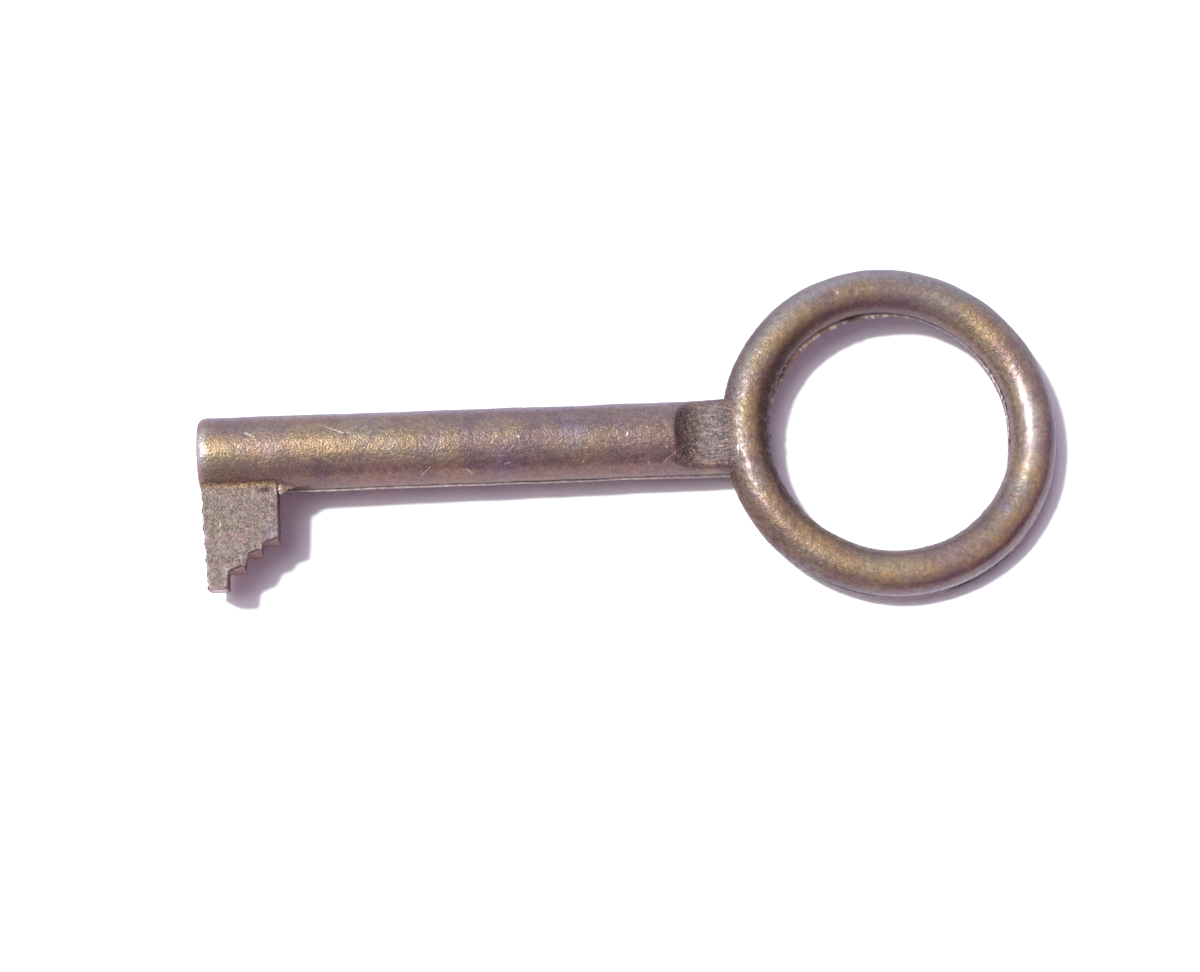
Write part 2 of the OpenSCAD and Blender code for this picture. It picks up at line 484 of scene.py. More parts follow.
def makeBarrel():
    # The profile turned about the X axis, a row for each point of the profile. The cast
    # skin and its marks fade out on the faces and in the bore, which were drilled.
    x, radius = barrelProfile()
    angles = barrelAngles[None, :]
    x = x[:, None]
    radius = radius[:, None] + 0 * angles
    points, outward, groove = castSides(x, radius, angles, barrel["upperY"], barrel["lowerY"])
    skin = ramp(boreRadius + 0.2, barrelRadius - 0.5, radius)
    plain = outward * radius[..., None]
    plain[..., 0] = x
    points = plain + (points - plain) * skin[..., None]
    points = plain + (roughen(points, outward) - plain) * skin[..., None]
    start, end = barrel["burrX"]
    along = ramp(start, start + 0.3, x) * ramp(end, start + 0.5, x)
    ragged = 0.75 + 0.3 * waviness(points, edgeField)
    burr = barrel["burr"] * along * inLane(angles, barrel, "burr") * ragged
    points = pushed(points, outward, burr * skin)
    dent(points, outward * skin[..., None], barrelDents)
    lit = inLane(angles, barrel, "lit") * skin
    band = {name: bump(x, *place) for name, place in barrel["bands"].items()}
    smudge = band["smudge"] * bump(points[..., 1], *barrel["smudgeY"]) * (points[..., 2] > 0)
    traces = {
        "groove": groove * skin,
        "inside": 1 - skin,
        "smudge": smudge * patchy(points, 0.5, 0.4, pitField),
        # the ledge along the seam: worn bare, and painted brighter as a glint
        "ledge": alongSeam(points[..., 2], "ledge") * skin,
        "burr": burr,
        # painted sheen: the flank that faces +Y, below the top, is made paler
        "paintedSheen": inLane(angles, barrel, "paintedSheen") * skin,
        "crest": np.abs(outward[..., 2]),
    }
    # the lip worn bare and the tip and front rubbed golden only in the lane where the lamp's highlight
    # falls: real wear, and partly painted highlight
    traces |= {name: band[name] * lit for name in ("lip", "tip", "front")}
    return makePiece("barrelTube", points, mixMarks(points, traces, barrel["marks"]))


# Neck: the spigot in the barrel, the collar, the scoops and the flats. The powers make its
# edges crisp at the barrel, blunter at the bow and faded on the bit's side. A slope is where
# something comes in along X, from nothing at its first place to all at its second.
neck = {
    "rowGap": 0.07,
    "collar": 0.2,
    "endX": 41.0,
    "scoopRadius": 2.3,
    "scoopEnd": 37.517,
    "flat": 1.5,
    "bowHalf": 2.95,
    "crisp": (28, 8, 5),
    "boxy": (2, 5),
    "upperY": 0.05,
    "lowerY": -0.06,
    "fillet": 0.1,
    "foot": (39.7, 40.4),
    "spigot": 1.55,
    "slopes": {
        "blunt": (35.5, 38.5),
        "faded": (35.2, 35.5),
        "flats": (40.3, 39.3),
        "rise": (38.6, 39.6),
        "sunk": (39.7, 40.3),
        "scoopStart": (35.3, 35.5),
        "scoopEnd": (37.2, 36.5),
        "creviceStart": (39.7, 39.95),
        "creviceEnd": (40.6, 40.25),
        "worn": (36.8, 38.2),
        "matte": (38.7, 39.5),
    },
    "goldenX": (38.1, 0.8),
    "marks": {
        "dirtAndShade": {"groove": 1, "scoop": 0.28, "crevice": 0.1},
        "wearAndSheen": {"ledge": 0.9, "flats": 0.28},
        "rub": {"golden": 0.45},
        "polish": {"matte": -1.2},
        "crest": {"crest": 1},
        "flat": {"flat": 1},
    },
}


def slope(x, name):
    return ramp(*neck["slopes"][name], x)


def flatHeight(x):
    # height of the scoop's arc up to its lowest point, then of the flat
    radius = neck["scoopRadius"]
    back = np.minimum(x - neck["scoopEnd"], 0)
    dip = np.sqrt(np.maximum(radius**2 - back**2, 0))
    return neck["flat"] + radius - dip


def neckSections(x, angles):
    # In the upper half a circle that the flat cuts, joined by a power mean. In the lower
    # half a superellipse takes the circle's place, squarer towards the bow.
    share = ramp(barrelLength + neck["collar"], neck["endX"], x)
    side = barrelRadius * barrel["trim"] * (1 - share) + neck["bowHalf"] * share
    height = flatHeight(x)
    sine = np.maximum(np.abs(np.sin(angles)), 1e-4)
    cosine = np.maximum(np.abs(np.cos(angles)), 1e-4)
    sharp, blunt, faded = neck["crisp"]
    power = sharp + (blunt - sharp) * slope(x, "blunt")
    power = power + (faded - power) * ramp(-0.2, -0.75, np.cos(angles)) * slope(x, "faded")
    cut = height / sine
    upper = (side**-power + cut**-power) ** (-1 / power)
    rounder, boxier = neck["boxy"]
    square = rounder + (boxier - rounder) * share
    boxed = ((cosine / side) ** square + (sine / side) ** square) ** (-1 / square)
    lower = (boxed**-power + cut**-power) ** (-1 / power)
    return np.where(np.sin(angles) >= 0, upper, lower)


def ringTop(x, y):
    # height of the ring's upper surface over a point, 0 beside the ring
    spread = np.hypot(x - ringX, y - bow["upperShift"][1]) - ringRadius
    return np.sqrt(np.maximum(barRadius**2 - spread**2, 0))


def neckRows():
    # places of the sections along X, closer at the scoop's sharp start and at the foot,
    # where the neck spreads on to the ring
    start = barrelLength + neck["collar"]
    foot, footEnd = neck["foot"]
    x = [[barrelLength, barrelLength + 0.08], np.linspace(start - 0.06, start + 0.14, 9)]
    x += [np.arange(start + 0.2, foot, neck["rowGap"]), np.arange(foot, footEnd, neck["rowGap"] / 2)]
    return np.concatenate([*x, [40.5, 40.7, neck["endX"]]])[:, None]


def spigotRows(angles):
    # circles of the rod inside the barrel, from its small flat end to the barrel's back
    x = np.array([boreLength, boreLength, boreLength + 0.1, 32, 34, barrelLength])[:, None]
    radius = np.array([0.7, neck["spigot"] - 0.1] + [neck["spigot"]] * 4)[:, None]
    rod = roundOutward(angles + 0 * x) * radius[..., None]
    rod[..., 0] = x
    return rod


def makeNeck():
    # sections along X, from a pole in the barrel to a pole inside the ring's bar
    angles = barrelAngles[None, :]
    x = neckRows()
    radius = neckSections(x, angles)
    share = ramp(barrelLength, neck["endX"], x)
    upperY = barrel["upperY"] + (neck["upperY"] - barrel["upperY"]) * share
    lowerY = barrel["lowerY"] + (neck["lowerY"] - barrel["lowerY"]) * share
    points, outward, groove = castSides(x, radius, angles, upperY, lowerY)
    # near the ring the flats rise to its surface, with a soft maximum of the two heights
    way = np.where(points[..., 2] > 0.3, 1, -1)
    height = np.abs(points[..., 2])
    seat = ringTop(x, points[..., 1]) + 0.01 - 0.06 * slope(x, "sunk")
    rise = seat - height
    lift = np.where(rise > -3, np.logaddexp(0, rise / neck["fillet"]) * neck["fillet"], 0)
    points[..., 2] += way * lift * slope(x, "rise") * ramp(0.3, 0.8, height)
    flatness = ramp(0.1, 0.5, barrelRadius - radius) * slope(x, "flats")
    points = roughen(points, outward, pit=1 + 0.6 * flatness)
    above = points[..., 2] > 0
    ragged = 0.35 * waviness(points, edgeField)
    # painted shade: the scoop's slope, which turns away from the lamp, is coloured darker
    scoop = slope(x + 0.3 * ragged, "scoopStart") * slope(x + ragged, "scoopEnd")
    crevice = slope(x, "creviceStart") * slope(x, "creviceEnd") * above
    traces = {
        "groove": groove,
        "scoop": scoop * flatness,
        "crevice": crevice * patchy(points, 0.5, 0.45),
        # the ledge along the seam: worn bare, and painted brighter as a glint
        "ledge": alongSeam(points[..., 2], "ledge"),
        "flats": flatness * slope(x, "worn"),
        "golden": bump(x, *neck["goldenX"]) * ramp(-1.2, -1.9, points[..., 1]) * above,
        "matte": slope(x, "matte") * (points[..., 2] > 0.3),
        "crest": np.abs(outward[..., 2]),
        "flat": flatness,
    }
    rod = spigotRows(angles)
    unmarked = np.zeros(rod.shape[:2])
    marks = mixMarks(points, traces, neck["marks"])
    marks = {mark: np.concatenate([unmarked, values]) for mark, values in marks.items()}
    poles = [(boreLength, 0, 0), (neck["endX"], neck["upperY"], 0)]
    grid = np.concatenate([rod, points])
    return makePiece("neckWeb", grid, marks, poles, sharp=60)


# Bit: the stepped blade
bit = {
    "frontEdge": ((0.22, -2.3), (0.27, -4.5), (0.62, -10.4)),
    "back": 5.75,
    "tread": 1.25,
    "levels": (-10.4, -8.8, -7.65, -6.8),
    "uncut": ((0.06, -0.46), (0.35, -0.28), (0.16, -0.31)),
    "tipWorn": 0.2,
    "half": 1.35,
    "fillet": 0.4,
    "spacing": 0.055,
    "sideRound": 0.11,
    "topWorn": 0.3,
    "bottomWorn": 0.17,
    "edgeRound": 0.14,
    "inset": 0.09,
    "middle": (1.6, -5.5),
    "jag": 0.035,
    "slant": {"top": 0.16, "upperSide": 0.1, "lowerSide": -0.07, "bottom": -0.07},
    "sideHeights": (0.62, 0.35, 0.1, -0.1, -0.35, -0.62),
    "sideWaves": 0.012,
    "pockX": (4.92, 0.4),
    "pockY": (-3.03, 0.14),
    "pock": 0.05,
    "marks": {
        "dirtAndShade": {"pock": 0.7, "shadedSide": 0.2, "frontSide": 0.5, "darkEdge": 0.55},
        "wearAndSheen": {"edge": 0.6, "foot": 0.5, "filed": 0.6},
        "rub": {"rubbedRoot": 0.65},
        "polish": {"root": -0.8},
        "crest": {"face": 0.6},
        "flat": {"flat": 1},
    },
}


def resample(corners):
    # points along a closed outline of corners, as many on each side as even points on the
    # plain outline would be there
    plain = bitCorners()
    length = np.linalg.norm(np.roll(plain, -1, axis=0) - plain, axis=1)
    counts = np.maximum(np.round(length / bit["spacing"]), 1).astype(int)
    stops = np.concatenate([[0], np.cumsum(counts)])
    loop = np.vstack([corners, corners[:1]])
    at = np.arange(stops[-1])
    return np.stack([np.interp(at, stops, loop[:, i]) for i in (0, 1)], axis=-1)


def softened(outline, spread):
    # the outline blurred along its own length by a bell curve, which rounds its corners
    count = len(outline)
    step = np.arange(count)
    step = np.minimum(step, count - step) * bit["spacing"]
    bell = bump(step, 0, spread * math.sqrt(2))
    bell /= bell.sum()
    spectrum = np.fft.fft(outline, axis=0) * np.fft.fft(bell)[:, None]
    return np.real(np.fft.ifft(spectrum, axis=0))


def bitCorners(uncut=0.0, tipWorn=0.0):
    # Corners of the blade seen from above, from the root's front corner round by the
    # tip. In one face the file left a share of the metal in the inner corners uncut.
    levels = bit["levels"]
    corners = [*bit["frontEdge"][:2], (bit["frontEdge"][2][0], levels[0] + tipWorn)]
    for step, level in enumerate(levels):
        x = bit["back"] - (3 - step) * bit["tread"]
        corners.append((x, level + tipWorn * (step == 0)))
        if step < 3:
            left = bit["uncut"][step]
            corners.append((x + uncut * left[0], levels[step + 1] + uncut * left[1]))
    corners.append((bit["back"], bit["frontEdge"][0][1]))
    return np.array(corners)


def bladeHalf(y):
    # half thickness of the blade, which widens into the fillet's arc at the barrel
    middleZ = bit["half"] + bit["fillet"]
    seatRadius = barrelRadius * barrel["trim"]
    reach = seatRadius + bit["fillet"]
    middleY = -math.sqrt(reach**2 - middleZ**2)
    seatZ = middleZ * seatRadius / reach
    up = np.clip(y - middleY, 0, bit["fillet"])
    arc = middleZ - np.sqrt(np.maximum(bit["fillet"] ** 2 - up**2, 0))
    return np.minimum(np.where(y > middleY, arc, bit["half"]), seatZ)


def outlineNormal(outline):
    # unit vectors square to the outline, pointing away from the blade
    along = np.roll(outline, -1, axis=0) - np.roll(outline, 1, axis=0)
    normal = np.stack([-along[:, 1], along[:, 0]], axis=-1)
    normal /= np.linalg.norm(normal, axis=1, keepdims=True)
    inside = ((outline - np.array(bit["middle"])) * normal).sum()
    return normal if inside > 0 else -normal


def bladeOutlines():
    # Four outlines with matching points: the rim of the upper face, the side below it, the
    # side above the lower face and that face's rim. The sides are jagged, most of all at
    # the front, and the treads lean a little, because the file was held at a slant.
    middleLine = resample(bitCorners())
    upperLine = resample(bitCorners(uncut=1.0))
    lowerLine = resample(bitCorners(tipWorn=bit["tipWorn"]))
    normal = outlineNormal(softened(middleLine, 0.15))
    x = middleLine[:, 0]
    jag = waviness(np.column_stack([middleLine, 0 * x]), edgeField) * bit["jag"]
    jagged = normal * (jag * (0.25 + 0.75 * ramp(1.2, 0.6, x)))[:, None]
    inset = normal * bit["inset"]
    outlines = {
        "top": softened(upperLine, bit["topWorn"]) - inset,
        "upperSide": softened(upperLine, bit["sideRound"]) + jagged,
        "lowerSide": softened(lowerLine, bit["sideRound"]) + jagged,
        "bottom": softened(lowerLine, bit["bottomWorn"]) - inset,
    }
    tread = np.clip(-normal[:, 1], 0, 1) * ramp(1.9, 2.15, x)
    lean = normal * (tread * (1 - 0.6 * ramp(4.4, 4.7, x)))[:, None]
    for name, slant in bit["slant"].items():
        outlines[name] -= lean * slant
    return outlines, normal, tread


def bladeLoops(outlines, normal):
    # Loops of the outline: shrinking towards a pole on the upper face, one above the other
    # down the side, and shrinking towards a pole on the lower face. Each has its height as
    # a share of the half thickness, and 1 on the side or 0 on a face.
    top, upperSide, lowerSide, bottom = outlines.values()
    middle = np.array(bit["middle"])
    shrink = np.concatenate([np.linspace(0.03, 0.78, 16), np.linspace(0.795, 0.985, 14)])
    turn = np.linspace(0, np.pi / 2, 6)
    edge = bit["edgeRound"] / bit["half"]
    loops = [(middle + (top - middle) * size, 1.0, 0.0) for size in shrink]
    for angle in turn:
        rim = top + (upperSide - top) * math.sin(angle)
        loops.append((rim, 1 - (1 - math.cos(angle)) * edge, 1.0))
    for height in bit["sideHeights"]:
        side = lowerSide + (upperSide - lowerSide) * (height + 1) / 2
        drift = waviness(np.column_stack([side, np.full(len(side), height * 1.3)]), edgeField)
        loops.append((side + normal * (bit["sideWaves"] * drift)[:, None], height, 1.0))
    for angle in turn[::-1]:
        rim = bottom + (lowerSide - bottom) * math.sin(angle)
        loops.append((rim, -1 + (1 - math.cos(angle)) * edge, 1.0))
    loops += [(middle + (bottom - middle) * size, -1.0, 0.0) for size in shrink[::-1]]
    flat, level, side = (np.array([loop[part] for loop in loops]) for part in range(3))
    return flat, level[:, None], side[:, None] + 0 * flat[..., 0]


def makeBit():
    # the loops set at their heights, with the skin on both faces and the marks of the file
    outlines, normal, tread = bladeOutlines()
    flat, level, side = bladeLoops(outlines, normal)
    points = np.concatenate([flat, (level * bladeHalf(flat[..., 1]))[..., None]], axis=-1)
    outward = np.zeros_like(points)
    outward[..., 2] = np.sign(level) * (np.abs(level) > 0.97)
    points = roughen(points, outward)
    x = points[..., 0]
    y = points[..., 1]
    pock = np.maximum(bump(x, *bit["pockX"]) * bump(y, *bit["pockY"]) * outward[..., 2], 0)
    points[..., 2] -= bit["pock"] * pock
    height = np.abs(level)
    root = ramp(-3.05, -2.75, y)
    frontSide = ramp(1.0, 0.5, x)
    bare = (1 - root) * (1 - 0.8 * frontSide)
    tread = tread[None, :] * side
    # painted shade: the side faces that turn along X, the treads' risers away from the lamp among
    # them, are coloured darker
    shadedSide = np.abs(normal[None, :, 0]) * side
    edge = bump(height, 0.96, 0.07) * side * (1 - tread * (level > 0))
    traces = {
        "edge": edge * bare,
        "foot": ramp(-0.7, -0.95, level) * side * bare,
        "filed": tread * ramp(0.9, 0.6, level) * bare,
        "pock": pock,
        "shadedSide": shadedSide * ramp(0.97, 0.9, height),
        "frontSide": frontSide * side,
        "darkEdge": tread * bump(level, 0.98, 0.09),
        "rubbedRoot": ramp(-3.55, -2.95, y) * np.maximum(patchy(points, 0.6, 0.4), root),
        "root": root,
        "face": 1 - side,
        "flat": (1 - side) * (1 - root),
    }
    marks = mixMarks(points, traces, bit["marks"])
    # bare metal where the file cut: most on the tip and the treads, less at each tread's front
    acrossTread = np.mod(bit["back"] - x, bit["tread"]) / bit["tread"]
    tipFace = ramp(-9.9, -10.1, y)
    cut = side * ramp(0.98, 0.85, height) * ramp(-3.0, -3.6, y)
    cut = cut * (1 - shadedSide) * (1 - 0.35 * ramp(0.2, 0.9, acrossTread))
    marks["cut"] = cut * (0.3 + 1.1 * tipFace + 1.1 * tread)
    poles = [(*bit["middle"], bit["half"]), (*bit["middle"], -bit["half"])]
    return makePiece("bitBlade", points, marks, poles, sharp=50)


# Finish of all the pieces: old brass, whose tones are given as screen colours
def tone(code):
    # a screen colour such as 8c7350 as the linear colour that the shaders use
    part = np.array([int(code[i : i + 2], 16) for i in (0, 2, 4)]) / 255
    linear = np.where(part <= 0.04045, part / 12.92, ((part + 0.055) / 1.055) ** 2.4)
    return (*linear.tolist(), 1.0)


# the tree that is being built
inHand = {}


def startNodes(owner):
    # from here on new nodes go into the owner's tree, which starts out empty
    owner.use_nodes = True
    owner.node_tree.nodes.clear()
    inHand["tree"] = owner.node_tree


def addNode(kind, put=None, **settings):
    # a shader node, with values or other nodes' outputs put into its sockets
    made = inHand["tree"].nodes.new("ShaderNode" + kind)
    for field, value in settings.items():
        setattr(made, field, value)
    for socket, value in (put or {}).items():
        target = made.inputs[socket]
        if isinstance(value, bpy.types.NodeSocket):
            inHand["tree"].links.new(value, target)
        else:
            target.default_value = value
    return made


def calc(operation, first, second, clamp=False):
    # one step of arithmetic
    put = {0: first, 1: second}
    return addNode("Math", put, operation=operation, use_clamp=clamp).outputs[0]


def times(first, second):
    return calc("MULTIPLY", first, second)


def addParts(total, parts, clamp=False):
    # a total plus each part times its amount, held between 0 and 1 at the end if asked
    for order, (part, amount) in enumerate(parts, start=1):
        total = calc("ADD", total, times(part, amount), clamp and order == len(parts))
    return total


def vectorStep(operation, first, second):
    # one step of vector arithmetic, whose answer is a number for a distance or a dot product
    put = {0: first, "Scale" if operation == "SCALE" else 1: second}
    made = addNode("VectorMath", put, operation=operation)
    return made.outputs["Value" if operation in ("DISTANCE", "DOT_PRODUCT") else "Vector"]


def seenBy(ray, *others):
    # 1 where one of the named kinds of ray looks, such as the camera's
    path = addNode("LightPath").outputs
    share = path[ray]
    for other in others:
        share = calc("MAXIMUM", share, path[other])
    return share


def blendTones(share, first, second):
    # a share of the second colour laid over the first
    return addNode("Mix", {0: share, 6: first, 7: second}, data_type="RGBA").outputs[2]


def spread(value, low, high, bottom=0.0, top=1.0):
    # a value's range low to high stretched to bottom to top, and held there
    put = {"Value": value, "From Min": low, "From Max": high, "To Min": bottom, "To Max": top}
    return addNode("MapRange", put, interpolation_type="SMOOTHSTEP").outputs["Result"]


# Noise fields: the size of a lump in millimetres, the detail, where the field starts and
# how it is squeezed along X, Y and Z
clouds = {
    "patches": (4.5, 4.0, 0, (1, 1, 1)),
    "smears": (1.6, 4.0, 20, (0.55, 1, 1)),
    "speckle": (0.38, 2.0, 40, (1, 1, 1)),
    "grain": (0.15, 1.0, 60, (1, 1, 1)),
    "shade": (2.6, 5.0, 80, (1, 1, 1)),
    "bloom": (3.2, 3.0, 100, (1, 1, 1)),
    "combing": (0.13, 1.0, 120, (0.12, 1, 1)),
    "motes": (1 / 3.6, 2.0, 0, (1, 1, 1)),
}


def cloud(place, name, output="Fac"):
    # one of the noise fields at a place in millimetres, as a number or as a colour
    size, detail, shift, squeeze = clouds[name]
    put = {"Vector": place, "Location": (shift,) * 3, "Scale": tuple(s / size for s in squeeze)}
    moved = addNode("Mapping", put).outputs[0]
    put = {"Vector": moved, "Scale": 1.0, "Detail": detail, "Roughness": 0.6}
    return addNode("TexNoise", put).outputs[output]


# A scratch is a line from one point to another on the key's upper side, in millimetres
# seen from above, with its width
scratches = {
    "barrelTube": [
        ((3.6, 0.96), (4.16, 0.6), 0.14),
        ((9.34, 1.33), (10.78, 0.68), 0.05),
        ((12.5, 1.2), (12.56, 1.17), 0.1),
        ((16.42, -2.45), (17.12, -1.94), 0.05),
        ((19.8, -2.2), (20.2, -2.44), 0.09),
        ((22.6, -1.95), (23.05, -1.84), 0.06),
        ((23.6, -0.08), (23.66, -0.04), 0.14),
        ((28.4, -2.04), (28.52, -1.93), 0.09),
        ((31.74, -0.24), (31.8, -0.1), 0.12),
        ((33.36, -2.25), (33.44, -2.1), 0.08),
        ((34.5, -2.22), (35.2, -1.7), 0.05),
        ((34.7, -1.2), (34.74, -1.14), 0.13),
    ],
    "neckWeb": [((35.3, -1.62), (36.15, -1.03), 0.05)],
    "bowRing": [((61.7, 4.3), (61.9, 4.5), 0.1)],
    "bitBlade": [((5.5, -3.15), (5.72, -3.08), 0.12)],
}


# A stain is a soft patch of another tone on the upper side: its middle seen from above, its
# radius in millimetres, its tone and how strong it is
stains = {
    "barrelTube": [
        ((1.8, -1.7), 2.6, "olive", 0.4),
        ((6.6, -1.6), 1.6, "dark", 0.4),
        ((5.2, -0.3), 0.9, "lilac", 0.2),
        ((9.0, -1.95), 1.2, "dark", 0.7),
        ((9.5, -0.7), 1.6, "rubbed", 0.25),
        ((13.5, -2.2), 2.2, "rosy", 0.35),
        ((12.3, 1.5), 2.5, "pale", 0.3),
        ((18.8, -2.5), 2.2, "rubbed", 0.22),
        ((22.6, -1.9), 1.5, "lilac", 0.35),
        ((27.8, -0.1), 1.6, "lilac", 0.4),
        ((29.3, -1.6), 1.6, "rubbed", 0.25),
        ((33.6, 0.2), 2.4, "rubbed", 0.25),
        ((32.5, -1.9), 2.0, "rosy", 0.3),
    ],
    "neckWeb": [((38.1, -2.1), 0.9, "rubbed", 0.2)],
    "bowRing": [
        ((61.4, -4.9), 1.2, "pale", 0.6),
        ((60.2, -6.6), 0.9, "lilac", 0.5),
        ((50.4, 10.0), 2.2, "dark", 0.35),
        ((45.0, -10.0), 2.0, "pale", 0.35),
        ((56.5, 10.7), 3.5, "pale", 0.35),
    ],
    "bitBlade": [
        ((1.55, -5.5), 1.3, "olive", 0.5),
        ((3.2, -6.4), 0.8, "rosy", 0.4),
        ((0.6, -5.0), 0.5, "rosy", 0.4),
        ((5.2, -6.2), 0.8, "lilac", 0.5),
        ((4.92, -3.03), 0.35, "dark", 0.6),
    ],
}


def scratchMask(place, start, end, width):
    # 1 on the line from start to end, fading to 0 at a width from it
    start, end = Vector((*start, 0)), Vector((*end, 0))
    run = end - start
    away = vectorStep("SUBTRACT", place, start)
    along = vectorStep("DOT_PRODUCT", away, run / run.length_squared)
    held = calc("MULTIPLY", along, 1.0, clamp=True)
    foot = vectorStep("SCALE", tuple(run), held)
    return spread(vectorStep("DISTANCE", away, foot), 0.0, width, 1.0, 0.0)


def attribute(name):
    return addNode("Attribute", attribute_name=name).outputs["Fac"]


brassTones = {
    "gold": tone("a3875c"),
    "brown": tone("866b66"),
    "dark": tone("6a5155"),
    "grey": tone("927f71"),
    "pale": tone("9b9484"),
    "olive": tone("7c7a58"),
    "rosy": tone("a8786e"),
    "lilac": tone("8c7f92"),
    "rubbed": tone("b9935b"),
    # bare metal, which also paints highlights and sheen
    "bare": tone("efddd8"),
    "cut": tone("dcb6aa"),
    "dirtAndShade": tone("382b30"),
}

# How the finish of the pieces differs: how much gold, dark brown and coloured specks there
# is, how strong the grain is, how grey and how combed the flats are, the roughness, how much
# lighter the top is, the depth of the fine relief and the roughness of the glossy coat
finishes = {
    "bowRing": {
        "gold": 0.9, "dark": 0.45, "specks": 0.45, "grain": 0.85, "flat": 0, "combed": 0,
        "rough": 0.36, "crest": 0.25, "relief": 0.42, "coat": 0.31,
    },
    "barrelTube": {
        "gold": 0.8, "dark": 0.5, "specks": 0.5, "grain": 1.1, "flat": 0, "combed": 0,
        "rough": 0.4, "crest": 0.1, "relief": 0.75, "coat": 0.24,
    },
    "neckWeb": {
        "gold": 0.6, "dark": 0.6, "specks": 0.6, "grain": 1.3, "flat": 0.85, "combed": 1.2,
        "rough": 0.4, "crest": 0.0, "relief": 0.85, "coat": 0.24,
    },
    "bitBlade": {
        "gold": 0.6, "dark": 0.5, "specks": 0.6, "grain": 1.9, "flat": 0.9, "combed": 0.1,
        "rough": 0.46, "crest": 0.0, "relief": 0.8, "coat": 0.24,
    },
}

# What the finish of all the pieces shares: how strongly the layers show in the colour, the
# depth of the fine relief in millimetres and the coat's index of refraction
layers = {
    # worn sets how strongly the bare tone shows, for real wear and for painted sheen alike
    "rubbed": 0.8, "bloom": 0.35, "paintedSheen": 0.55, "worn": 0.8, "cut": 0.75, "scratched": 0.6,
    "dirtAndShade": 0.85, "specks": 0.12, "grains": 0.2, "combing": 0.25,
    "reliefDepth": 0.04, "coatIor": 1.75,
}


def lay(colour, share, toneName, strength=1.0):
    # one of the tones laid over the colour, as far as the share times its strength
    return blendTones(times(share, strength), colour, brassTones[toneName])


def patinaTone(name, place, mark, speckle):
    # brown brass that is golden where hands rub it, with darker and paler patches, and a painted paler
    # sheen on the flanks that face +Y
    finish = finishes[name]
    handled = addParts(0.0, [(cloud(place, "patches"), 0.6), (cloud(place, "smears"), 0.4)])
    goldShare = spread(handled, 0.38, 0.62, 0.0, finish["gold"])
    goldShare = times(goldShare, spread(mark["crest"], 0.3, 1.0, 0.35, 1.0))
    darkShare = spread(cloud(place, "shade"), 0.48, 0.72, 0.0, finish["dark"])
    colour = lay(brassTones["brown"], goldShare, "gold")
    colour = lay(colour, darkShare, "dark")
    rubbed = times(mark["rub"], spread(speckle, 0.3, 0.6, 0.55, 1.0))
    colour = lay(colour, rubbed, "rubbed", layers["rubbed"])
    bloom = spread(cloud(place, "bloom"), 0.52, 0.68, 0.0, layers["bloom"])
    bloom = times(bloom, spread(mark["crest"], 0.75, 1.0))
    # painted sheen: the flanks that face +Y are made paler
    bloom = addParts(bloom, [(mark["paintedSheen"], layers["paintedSheen"])], clamp=True)
    colour = lay(colour, bloom, "pale")
    return lay(colour, mark["flat"], "grey", finish["flat"])


def stained(name, colour, above, speckle):
    # the piece's stains laid over the colour, seen from above and broken up by the speckle
    broken = spread(speckle, 0.3, 0.7, 0.5, 1.0)
    for middle, radius, stainTone, strength in stains[name]:
        gap = vectorStep("DISTANCE", above, (*middle, 0))
        share = spread(gap, 0.3 * radius, radius, strength, 0.0)
        colour = lay(colour, times(share, broken), stainTone)
    return colour


def scratchedShare(name, place, above):
    # 1 in the piece's scratches, which are all on its upper side
    scratched = 0.0
    for start, end, width in scratches[name]:
        scratched = calc("MAXIMUM", scratched, scratchMask(above, start, end, width))
    height = addNode("SeparateXYZ", {0: place}).outputs["Z"]
    return times(scratched, calc("GREATER_THAN", height, 0.0))


def grained(finish, colour, place, mottle, mark):
    # The colour made lighter and darker by the mottle and lighter on top. The finest specks
    # differ in colour too: pink, green and dark ones side by side.
    light = addParts(1.0, [(mottle, finish["grain"])])
    top = addParts(1.0, [(spread(mark["crest"], 0.8, 1.0), finish["crest"])])
    colour = vectorStep("SCALE", colour, times(light, top))
    reach = finish["specks"]
    put = {0: cloud(place, "motes", "Color"), 1: (reach,) * 3, 2: (1 - reach / 2,) * 3}
    tinge = addNode("VectorMath", put, operation="MULTIPLY_ADD").outputs[0]
    return vectorStep("MULTIPLY", colour, tinge)


